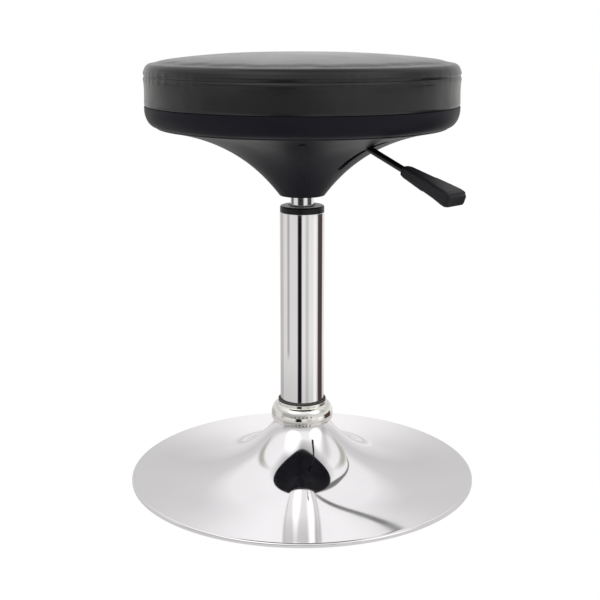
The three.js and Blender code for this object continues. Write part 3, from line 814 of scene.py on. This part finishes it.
def grip_section(half, rise, depth):
    """Points round a rounded rectangle, as (across, up)."""
    corner = min(grip_corner, half, (rise + depth) / 2)
    points = []
    for quarter, (x, z) in enumerate(((half, rise), (-half, rise), (-half, -depth), (half, -depth))):
        middle = (x - math.copysign(corner, x), z - math.copysign(corner, z))
        for i in range(grip_corner_steps + 1):
            turn = math.radians(90 * (quarter + i / grip_corner_steps))
            points.append((middle[0] + corner * math.cos(turn), middle[1] + corner * math.sin(turn)))
    return points


def lever_grip():
    """The moulded paddle: sections along the rod, with a rounded edge at both ends."""
    pivot, outward, across = lever_frame()
    along, up = lever_way(outward)
    tables = (grip_widths, grip_width / 2), (grip_rises, grip_rise), (grip_depths, grip_height - grip_rise)
    rings = []
    for i in range(-grip_round_steps, grip_steps + grip_round_steps + 1):
        share = min(max(i / grip_steps, 0), 1)
        half, rise, depth = (float(np.interp(share, grip_along, shares)) * size for shares, size in tables)
        past = max(-i, i - grip_steps, 0) / grip_round_steps
        shrink = grip_edge * (1 - math.sqrt(1 - past ** 2))
        distance = grip_start + grip_length * share
        distance += grip_edge * past * (1 if i > 0 else -1)
        distance += grip_edge * (1 if i < grip_steps / 2 else -1)
        section = grip_section(half - shrink, rise - shrink, depth - shrink)
        rings.append([pivot + along * distance + across * x + up * z for x, z in section])
    mesh = loft("lever_grip_moulded", rings)
    shade(mesh, grip_crease)
    placed(mesh, "lever", "grip_plastic", "lever_grip")


# Cushion

crown_steps = 28
crown_power = 2.6
shoulder_width = 11 * mm
shoulder_rise = 13.5 * mm
shoulder_power = 0.8
lip_inset = 0.4 * mm
lip_height = 0.6 * mm
seam_inset = 1.2 * mm
seam_overlap = 0.1 * mm
band_steps = 8
band_draw = 1 * mm
band_lean = 0.2 * mm
fold_height = 5 * mm
fold_radius = 4 * mm
fold_start = 12 * mm
fold_end = 25 * mm
leather_thickness = 1.2 * mm

cover_segments = 144
cover_levels = 2
cover_pressure = 3
cover_ease = 0.003
cover_frames = 20
cover_cap = 1.4 * mm
calm_passes = 5

foam_give = 0.1 * mm
foam_gap = 1.2 * mm
foam_inset = 4.5 * mm
foam_edge = 2 * mm
board_gap = 0.3 * mm

# Rings that the seam, or the seam and the fold under the band, hold in each part of the cover's outline
top_held = (-1, -2)
band_held = (0, 1, -1, -2, -3, -4, -5, -6)

# The small forms of sewing, with heights, distances from the seam and reaches in millimetres
allowance_height, allowance_place, allowance_reach = 0.4, 3.2, 1.6
pucker_height, pucker_place, pucker_reach = 0.28, 3, 3.6
crease_height = 0.22
slack_height, slack_scale, slack_reach = 0.3, 11, 9
band_foot = 6 * mm
groove_inset = 1.1 * mm
groove_half_width = 1.2 * mm


def cover_outline():
    """The cover's outer face from the crown's middle to its fold's end, and its seam's place in the list."""
    outer, seam = outer_radius("cover_band"), top("cover_band")
    low, high = bottom("cover_band"), top("cover_top") - cover_cap
    foot, dome = outer - shoulder_width, high - seam - shoulder_rise
    points = []
    for i in range(crown_steps + 1):
        points.append((foot * i / crown_steps, high - dome * (i / crown_steps) ** crown_power))
    points += arc((foot, seam), shoulder_width, shoulder_rise, 0.84, 0.1, steps=9, power=shoulder_power)
    points += [(outer - lip_inset, seam + lip_height), (outer - seam_inset, seam - seam_overlap)]
    split = len(points)
    points += [(outer - seam_inset, seam + seam_overlap), (outer - lip_inset, seam - lip_height)]
    for i in range(1, band_steps + 1):
        share = i / band_steps
        radius = outer - band_draw * math.sin(math.pi * share) + band_lean * (1 - share)
        points.append((radius, seam - lip_height + (low + fold_height - seam) * share))
    points += arc((outer - fold_radius, low + fold_radius), fold_radius, fold_radius, -0.2, -1, steps=4)
    points += [(outer - fold_start, low), (outer - fold_end, low)]
    return points, split


def cover_mesh(name, outline):
    """One face of a cover, turned round the axis, with its free edges open."""
    vertices, rings = turned_rings(outline, cover_segments)
    faces = []
    for high, low in zip(rings, rings[1:]):
        for i in range(cover_segments):
            j = (i + 1) % cover_segments
            faces.append(tuple(dict.fromkeys((high[i], low[i], low[j], high[j]))))
    return new_mesh(name, vertices, faces), rings


def coordinates(mesh, what="co"):
    values = np.empty(len(mesh.vertices) * 3)
    mesh.vertices.foreach_get(what, values)
    return values.reshape(-1, 3)


def calmed(values, mesh, held):
    """One value a vertex, evened out along the edges, with held vertices at zero."""
    edges = np.empty(2 * len(mesh.edges), dtype=np.int32)
    mesh.edges.foreach_get("vertices", edges)
    first, second = edges.reshape(-1, 2).T
    size = len(values)
    count = np.bincount(edges, minlength=size)
    for _ in range(calm_passes):
        total = np.bincount(first, values[second], size) + np.bincount(second, values[first], size)
        values = (values + total / count) / 2
        values[held] = 0
    return values


def inflate(piece, held):
    """Swells a cover by cloth simulation. Held vertices stay, and others move no further than the cap."""
    flat = piece.data
    before = coordinates(flat)
    group = piece.vertex_groups.new(name="held")
    group.add([int(i) for i in held], 1.0, "REPLACE")
    cloth = piece.modifiers.new("cloth", "CLOTH").settings
    cloth.quality = 6
    cloth.mass = 0.25
    cloth.use_pressure = True
    cloth.uniform_pressure_force = cover_pressure
    cloth.shrink_min = -cover_ease
    cloth.tension_stiffness = cloth.compression_stiffness = 25
    cloth.bending_stiffness = 0.6
    cloth.vertex_group_mass = "held"
    cloth.effector_weights.gravity = 0
    scene = bpy.context.scene
    for number in range(1, cover_frames + 1):
        scene.frame_set(number)
    swollen = from_evaluated(piece)
    out = coordinates(flat, "normal")
    rise = np.sum((coordinates(swollen) - before) * out, axis=1)
    rise = calmed(rise, flat, held)[:, None]
    cap = np.where(rise > 0, cover_cap, foam_give)
    moved = out * cap * np.tanh(rise / cap)
    piece.modifiers.clear()
    piece.vertex_groups.clear()
    piece.data = swollen
    bpy.data.meshes.remove(flat)
    swollen.vertices.foreach_set("co", (before + moved).ravel())
    scene.frame_set(1)


def waves(angle, counts, seed):
    """A seeded ripple round the axis, between about -1 and 1."""
    phases = np.random.default_rng(seed).uniform(0, math.tau, len(counts))
    return sum(np.cos(count * angle + phase) for count, phase in zip(counts, phases)) / len(counts) ** 0.5


def bell(away, place, reach):
    """1 at a place, and falling off to 0 on both sides of it."""
    return np.exp(-((away - place) / reach) ** 2)


def sewn(mesh):
    """The small forms of sewing: the allowance beside the seam, its puckers, and creases and slack in the
    cover. The seam's own groove stays clean."""
    place, normal = coordinates(mesh), coordinates(mesh, "normal")
    outer, seam = outer_radius("cover_band"), top("cover_band")
    radius = np.hypot(place[:, 0], place[:, 1])
    angle = np.arctan2(place[:, 1], place[:, 0])
    away = np.hypot(radius - outer, place[:, 2] - seam) / mm
    allowance = allowance_height * bell(away, allowance_place, allowance_reach)
    gathers = waves(angle, counts=(53, 71, 89, 97), seed=3)
    gathers = gathers * (0.35 + 0.35 * waves(angle, counts=(2, 3, 5), seed=4))
    puckers = pucker_height * gathers * bell(away, pucker_place, pucker_reach)
    creases = crease_height * waves(angle, counts=(17, 23, 31, 41), seed=5)
    creases = creases * np.clip(waves(angle, counts=(1, 2, 4), seed=6), 0, 1)
    slack = np.array([noise.noise(Vector(p) * slack_scale) for p in place]) * slack_height
    fade = np.clip(away / slack_reach, 0, 1)
    side = place[:, 2] < seam
    foot = np.clip((place[:, 2] - bottom("cover_band")) / band_foot, 0, 1)
    height = allowance + puckers + fade * (slack + np.where(side, creases, 0)) * np.where(side, foot, 1)
    groove = (radius < outer - groove_inset) & (np.abs(place[:, 2] - seam) < groove_half_width)
    height = np.where(groove, 0, height)
    mesh.vertices.foreach_set("co", (place + normal * height[:, None] * mm).ravel())


def cover_piece(name, outline, held_rings, node):
    """One part of the cover: swollen, sewn and given the leather's thickness."""
    mesh, rings = cover_mesh(name, outline)
    piece = linked(mesh)
    inflate(piece, [i for ring in held_rings for i in rings[ring]])
    smooth = piece.modifiers.new("smooth", "SUBSURF")
    smooth.levels = smooth.render_levels = cover_levels
    fine = from_evaluated(piece)
    discard(piece)
    fine.name = name
    sewn(fine)
    fine.shade_smooth()
    cover = placed(fine, "seat", "leatherette", node)
    thick = cover.modifiers.new("thickness", "SOLIDIFY")
    thick.thickness = leather_thickness
    thick.offset = -1


def foam_core(crown):
    """The foam under the cover, with its top face inset from the crown's outline."""
    inner = inset(crown, leather_thickness + foam_give + foam_gap)
    side, base = outer_radius("cover_band") - foam_inset, top("seat_board") + board_gap
    core = [point for point in inner if point[0] < side]
    outline = [(0, base), (side, base), (side, top("cover_band")), *core[::-1]]
    mesh = revolved("foam_core", rounded(outline, foam_edge))
    placed(mesh, "seat", "foam", "foam_pad")


def cushion():
    points, split = cover_outline()
    cover_piece("cushion_top_cover", points[:split], top_held, "cover_top")
    cover_piece("cushion_side_band", points[split:], band_held, "cover_band")
    foam_core(points[:split - 2])


# CAD nodes that stay

def paint_cad_nodes():
    slots = {part["node"]: part["material_slot"] for part in frame["record"]["subparts"]}
    for name, node in frame["nodes"].items():
        node.data.materials.clear()
        node.data.materials.append(SLOT_MATERIALS[slots[name]])


# Studio. What stands and lies round the set shows only in reflections. Azimuths are in degrees round the
# axis from the camera's side, positive to its right, and a direction's height is its elevation's sine.

studio_white = rgb(1, 1, 1)
dim_gray = rgb(0.4, 0.4, 0.4)
dim_side = dict(centre=-31.0, half=50.0, soft=9.0)
floor_half = 12.0
floor_drop = 0.2 * mm
key_place = (-1.1, -1.3, 2.1)
fill_place = (1.5, -0.9, 1.5)
lamp_target = (0, 0, 0.4)

# Heights and levels of the wall all round
WALL_LEVELS = [(0.0, 0.78), (0.2, 0.7), (0.32, 0.62), (0.5, 0.68), (0.62, 0.9), (0.87, 0.95), (0.95, 0.45)]

# The distances in metres between which a card lies on the floor, so that the column or the gas cylinder
# reflects it, and how far its outer edge fades. The cards that the gas cylinder reflects are painted shade
# of the seat above it.
card_edge = 0.03
by_column = dict(near=0.26, far=1.94, fade=card_edge)
seat_shade_by_lift = dict(near=1.96, far=2.8, fade=0.55)

FLOOR_CARDS = [
    dict(by_column, centre=-12.2, half=10.5, soft=4, strength=1.0, color=rgb(0.008, 0.008, 0.012)),
    dict(by_column, centre=-75, half=7, soft=5, strength=0.5, color=rgb(0.12, 0.12, 0.13), near=0.5),
    dict(by_column, centre=-130, half=18, soft=6, strength=0.3, color=rgb(0.05, 0.05, 0.05)),
    dict(by_column, centre=25.5, half=8, soft=6, strength=0.45, color=rgb(0.26, 0.31, 0.27)),
    dict(by_column, centre=69, half=8, soft=5, strength=0.9, color=rgb(1, 1, 1)),
    dict(by_column, centre=107, half=20, soft=6, strength=0.96, color=rgb(0.045, 0.02, 0.018)),
    # Painted shade of the seat: dark cards on the floor that the gas cylinder reflects
    dict(seat_shade_by_lift, centre=-14, half=29, soft=7, strength=1.0, color=rgb(0.008, 0.008, 0.008)),
    dict(seat_shade_by_lift, centre=78, half=26, soft=8, strength=0.96, color=rgb(0.02, 0.02, 0.02)),
    dict(seat_shade_by_lift, centre=-112, half=20, soft=8, strength=0.85, color=rgb(0.03, 0.03, 0.03)),
]

# The boom leaves its stand at an azimuth, and falls ever faster over a span of azimuths
stand_azimuth = 173.4
boom_start = 168.4
boom_span = 37.6
boom_power = 4.7
boom_height = 0.858
boom_fall = 0.231
boom_half_width = 0.02


def sector(graph, value, centre, half, soft):
    """1 where a value is within half a width of the centre, and 0 elsewhere."""
    return graph.mapped(graph.apart(value, centre), half - soft, half + soft, 1.0, 0.0, smooth=True)


def thin_line(graph, away, half_width):
    """1 on a thin line, and 0 beside it."""
    return graph.mapped(graph.math("DIVIDE", away, half_width), 0.6, 1.4, 1.0, 0.0, smooth=True)


def azimuth_of(graph, direction):
    parts = graph.add("SeparateXYZ", {"Vector": direction}, output=None)
    turn = graph.math("ARCTAN2", parts.outputs["X"], graph.math("MULTIPLY", parts.outputs["Y"], -1.0))
    return graph.math("MULTIPLY", turn, 180 / math.pi)


def with_floor_cards(graph, where, color):
    """The floor's glow with the stool's own shade, the dim camera side, the cards on it and the seat's
    painted shade.
    """
    azimuth = azimuth_of(graph, where)
    distance = graph.add("VectorMath", {0: where}, output="Value", operation="LENGTH")
    shaded = graph.mapped(distance, 0.22, 0.6, 0.35, 0.0, smooth=True)
    color = graph.over(color, rgb(0.3, 0.3, 0.3), shaded)
    beyond = graph.mapped(distance, 3.0, 4.5, smooth=True)
    color = graph.over(color, dim_gray, beyond, sector(graph, azimuth, **dim_side))
    for card in FLOOR_CARDS:
        width = sector(graph, azimuth, card["centre"], card["half"], card["soft"])
        near, far, fade = card["near"], card["far"], card["fade"]
        begins = graph.mapped(distance, near - card_edge, near + card_edge, smooth=True)
        ends = graph.mapped(distance, far - fade, far + fade, 1.0, 0.0, smooth=True)
        color = graph.over(color, card["color"], width, card["strength"], begins, ends)
    return color


def with_camera_side(graph, azimuth, height, color):
    """The dim room on the camera's side, with dark bars low in it."""
    low = graph.mapped(height, 0.25, 0.5, 1.0, 0.0, smooth=True)
    color = graph.over(color, dim_gray, sector(graph, azimuth, **dim_side), low)
    front = sector(graph, azimuth, centre=0.0, half=40.0, soft=2.0)
    bars = graph.math("SINE", graph.math("MULTIPLY", azimuth, 0.42))
    bars = graph.mapped(bars, 0.35, 0.6, 0.0, 0.9, smooth=True)
    level = sector(graph, height, centre=0.08, half=0.07, soft=0.02)
    return graph.over(color, rgb(0.03, 0.03, 0.03), front, bars, level)


def with_side_cards(graph, azimuth, turned, height, color):
    """An olive card behind the stool on each side, and a grey one at its right."""
    olive = sector(graph, turned, centre=125.0, half=4.0, soft=3.0)
    level = sector(graph, height, centre=0.66, half=0.16, soft=0.1)
    color = graph.over(color, rgb(0.24, 0.23, 0.14), olive, level, 0.65)
    grey = sector(graph, azimuth, centre=92.0, half=11.0, soft=8.0)
    level = sector(graph, height, centre=0.55, half=0.35, soft=0.1)
    return graph.over(color, rgb(0.4, 0.39, 0.37), grey, level, 0.5)


def with_boom_stand(graph, azimuth, height, color):
    """A thin stand behind the stool, and the boom that arches down from it."""
    away = graph.apart(azimuth, stand_azimuth)
    stand = thin_line(graph, away, graph.mapped(height, 0.5, 0.75, 0.3, 0.8))
    stand = graph.math("MULTIPLY", stand, sector(graph, height, centre=0.64, half=0.19, soft=0.03))
    along = graph.math("MAXIMUM", graph.math("SUBTRACT", boom_start, azimuth), 0.0)
    along = graph.math("POWER", graph.math("DIVIDE", along, boom_span), boom_power)
    arch = graph.math("SUBTRACT", boom_height, graph.math("MULTIPLY", along, boom_fall))
    boom = thin_line(graph, graph.apart(height, arch), boom_half_width)
    boom = graph.math("MULTIPLY", boom, sector(graph, azimuth, centre=152.0, half=21.5, soft=1.0))
    return graph.over(color, rgb(0.07, 0.07, 0.07), graph.math("MAXIMUM", stand, boom), 0.85)


def with_lamp_glows(graph, direction, color):
    """A soft glow where each lamp stands, in place of the lamp's own hard square."""
    for place, level in ((key_place, 1.35), (fill_place, 1.25)):
        inputs = {0: direction, 1: Vector(place).normalized()}
        toward = graph.add("VectorMath", inputs, output="Value", operation="DOT_PRODUCT")
        share = graph.mapped(toward, 0.9, 0.985, smooth=True)
        color = graph.over(color, rgb(level, level, level), share)
    return color


def reflected_studio(graph, direction):
    """The wall's levels by height, with a white screen behind the stool and what else stands round it."""
    height = graph.add("SeparateXYZ", {"Vector": direction}, output="Z")
    wall = graph.add("ValToRGB", {"Fac": height}, output=None)
    ramp = wall.color_ramp
    while len(ramp.elements) < len(WALL_LEVELS):
        ramp.elements.new(0.5)
    for element, (place, level) in zip(ramp.elements, WALL_LEVELS):
        element.position = place
        element.color = rgb(level, level * 0.99, level)
    azimuth = azimuth_of(graph, direction)
    turned = graph.math("ABSOLUTE", azimuth)
    screen = sector(graph, turned, centre=180.0, half=6.5, soft=4.0)
    above_floor = graph.mapped(height, -0.1, 0.05)
    color = graph.over(wall.outputs["Color"], rgb(0.97, 0.96, 0.97), screen, above_floor)
    color = with_camera_side(graph, azimuth, height, color)
    color = with_side_cards(graph, azimuth, turned, height, color)
    color = with_boom_stand(graph, azimuth, height, color)
    return with_lamp_glows(graph, direction, color)


def add_world():
    """White to the camera, an even light on the stool, and the studio in its reflections."""
    graph = Graph(bpy.data.worlds.new("studio"))
    seen = reflected_studio(graph, graph.add("TexCoord", output="Generated"))
    rays = graph.add("LightPath", output=None)
    color = graph.mixed(rays.outputs["Is Glossy Ray"], rgb(0.75, 0.75, 0.75), seen)
    color = graph.mixed(rays.outputs["Is Camera Ray"], color, studio_white)
    bpy.context.scene.world = graph.finished("Background", Color=color)


def floor_material():
    """Nearly white to the camera with the stool's shadow on it, and a glow with cards in reflections."""
    graph = Graph(bpy.data.materials.new("floor"))
    where = graph.add("NewGeometry", output="Position")
    across = graph.add("SeparateXYZ", {"Vector": where}, output="X")
    pale = graph.mapped(across, -0.35, 0.1, 0.76, 0.86, smooth=True)
    glow = with_floor_cards(graph, where, graph.mixed(pale, rgb(0, 0, 0), rgb(1, 0.985, 0.97)))
    glow = graph.add("Emission", {"Color": glow})
    white = graph.add("Emission", {"Color": studio_white, "Strength": 1.05})
    paint = graph.add("BsdfDiffuse", {"Color": rgb(0.85, 0.85, 0.85)})
    rays = graph.add("LightPath", output=None)
    shown = graph.add("MixShader", {0: 0.88, 1: paint, 2: white})
    shader = graph.add("MixShader", {0: rays.outputs["Is Glossy Ray"], 1: paint, 2: glow})
    shader = graph.add("MixShader", {0: rays.outputs["Is Camera Ray"], 1: shader, 2: shown})
    return graph.finished("Material Output", Surface=shader)


def add_floor():
    corners = [(x * floor_half, y * floor_half, 0) for x, y in ((-1, -1), (1, -1), (1, 1), (-1, 1))]
    mesh = new_mesh("floor", corners, [(0, 1, 2, 3)])
    floor = linked(mesh)
    floor.location.z = -floor_drop
    mesh.materials.append(floor_material())


def add_lamp(name, place, size, power):
    """A square lamp that points at the stool and doesn't show in reflections."""
    data = bpy.data.lights.new(name, "AREA")
    data.shape = "RECTANGLE"
    data.size = data.size_y = size
    data.energy = power
    lamp = linked(data)
    lamp.location = place
    lamp.visible_glossy = False
    lamp.rotation_euler = (Vector(lamp_target) - Vector(place)).to_track_quat("-Z", "Y").to_euler()


def add_studio():
    bpy.context.scene.view_settings.view_transform = "Standard"
    add_world()
    add_floor()
    add_lamp("key", key_place, size=1.2, power=13)
    add_lamp("fill", fill_place, size=1.0, power=7)


add_camera()
add_studio()
paint_cad_nodes()
base_pieces()
pressure_tube()
seat_pan()
pan_screws()
lever_rod()
lever_grip()
cushion()
